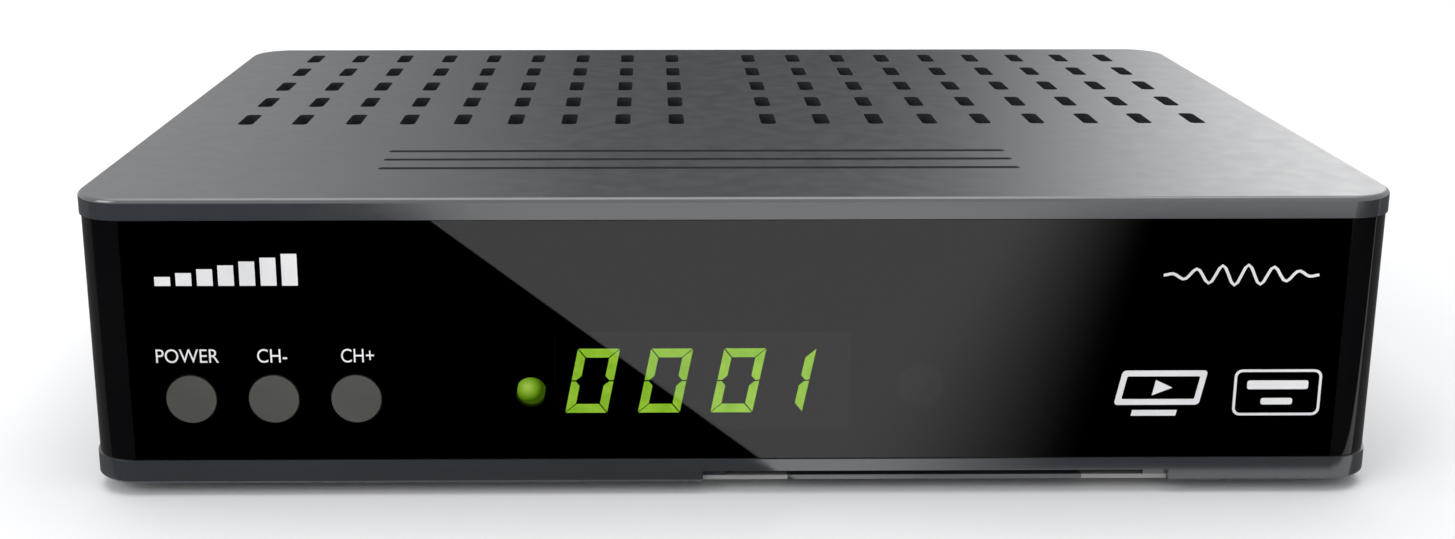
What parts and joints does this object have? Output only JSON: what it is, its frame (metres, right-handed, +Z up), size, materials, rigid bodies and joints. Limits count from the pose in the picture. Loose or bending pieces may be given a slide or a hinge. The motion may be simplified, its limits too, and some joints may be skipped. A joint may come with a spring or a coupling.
{
  "type": "satellite tv receiver",
  "caption": "Low set-top box with a vented slate cover, glossy black front, lit digit display, push buttons, card slot and rear sockets.",
  "frame": {"origin": "under the middle of the whole outline, sockets included, in the plane that the rubber feet stand on", "axes": "+X to the right seen from the front, +Y to the back, +Z up"},
  "size_m": [0.168, 0.1194, 0.04],
  "materials": {
    "case_slate": "fine moulded grain",
    "fascia_black": "high gloss",
    "lens_smoke": "clear smoked gloss",
    "panel_black": "fine moulded grain",
    "foot_rubber": "matte",
    "screw_steel": "zinc plated",
    "button_grey": "satin",
    "switch_black": "matte",
    "spring_steel": "bright",
    "board_green": "solder resist",
    "display_black": "matte",
    "segment_lit": "lit diffuser",
    "segment_dark": "unlit diffuser",
    "status_green": "lit diffuser",
    "infrared_dark": "dark tinted",
    "pin_metal": "gold plated",
    "guide_pale": "matte",
    "tin_plate": "tin plated",
    "nickel": "nickel plated",
    "insulator_white": "matte",
    "audio_orange": "gloss",
    "chip_black": "matte",
    "pad_grey": "matte",
    "heatsink_aluminium": "extruded",
    "can_sleeve": "printed sleeve",
    "coil_grey": "matte"
  },
  "bodies": {
    "receiver": {"top_cover": "case_slate", "bottom_tray": "case_slate", "front_fascia": "fascia_black", "front_lens": "lens_smoke", "left_side_panel": "panel_black", "right_side_panel": "panel_black", "rear_panel": "panel_black", "rubber_feet": "foot_rubber", "case_screws": "screw_steel", "switch_bodies": "switch_black", "switch_domes": "spring_steel", "front_board": "board_green", "front_board_screws": "screw_steel", "display_body": "display_black", "display_pins": "tin_plate", "lit_segments": "segment_lit", "dark_segments": "segment_dark", "status_light_guide": "status_green", "status_led": "status_green", "infrared_receiver": "infrared_dark", "link_header": "switch_black", "link_pins": "pin_metal", "card_reader_body": "switch_black", "card_contacts": "pin_metal", "card_guides": "guide_pale", "main_board": "board_green", "board_screws": "screw_steel", "tuner_can": "tin_plate", "tuner_lid": "tin_plate", "lnb_in_connector": "nickel", "lnb_out_connector": "nickel", "aerial_insulators": "insulator_white", "aerial_contacts": "pin_metal", "hdmi_shell": "tin_plate", "hdmi_tongue": "switch_black", "ethernet_jack": "tin_plate", "ethernet_contacts": "pin_metal", "av_jack": "switch_black", "digital_audio_jack": "audio_orange", "digital_audio_shell": "nickel", "usb_shell": "tin_plate", "usb_tongue": "insulator_white", "dc_jack": "switch_black", "dc_pin": "nickel", "main_processor": "chip_black", "thermal_pad": "pad_grey", "heatsink": "heatsink_aluminium", "memory_chips": "chip_black", "flash_chip": "chip_black", "crystal_can": "tin_plate", "capacitors": "can_sleeve", "inductors": "coil_grey"},
    "power_key": {"power_button": "button_grey", "power_plunger": "switch_black"},
    "channel_down_key": {"channel_down_button": "button_grey", "channel_down_plunger": "switch_black"},
    "channel_up_key": {"channel_up_button": "button_grey", "channel_up_plunger": "switch_black"}
  },
  "joints": [
    {"name": "power_press", "type": "slide", "parent": "receiver", "child": "power_key", "axis": [0, 1, 0], "range_m": [0, 0.00035], "stiffness_N_per_m": 600, "springref_m": -0.0005},
    {"name": "channel_down_press", "type": "slide", "parent": "receiver", "child": "channel_down_key", "axis": [0, 1, 0], "range_m": [0, 0.00035], "stiffness_N_per_m": 600, "springref_m": -0.0005},
    {"name": "channel_up_press", "type": "slide", "parent": "receiver", "child": "channel_up_key", "axis": [0, 1, 0], "range_m": [0, 0.00035], "stiffness_N_per_m": 600, "springref_m": -0.0005}
  ]
}
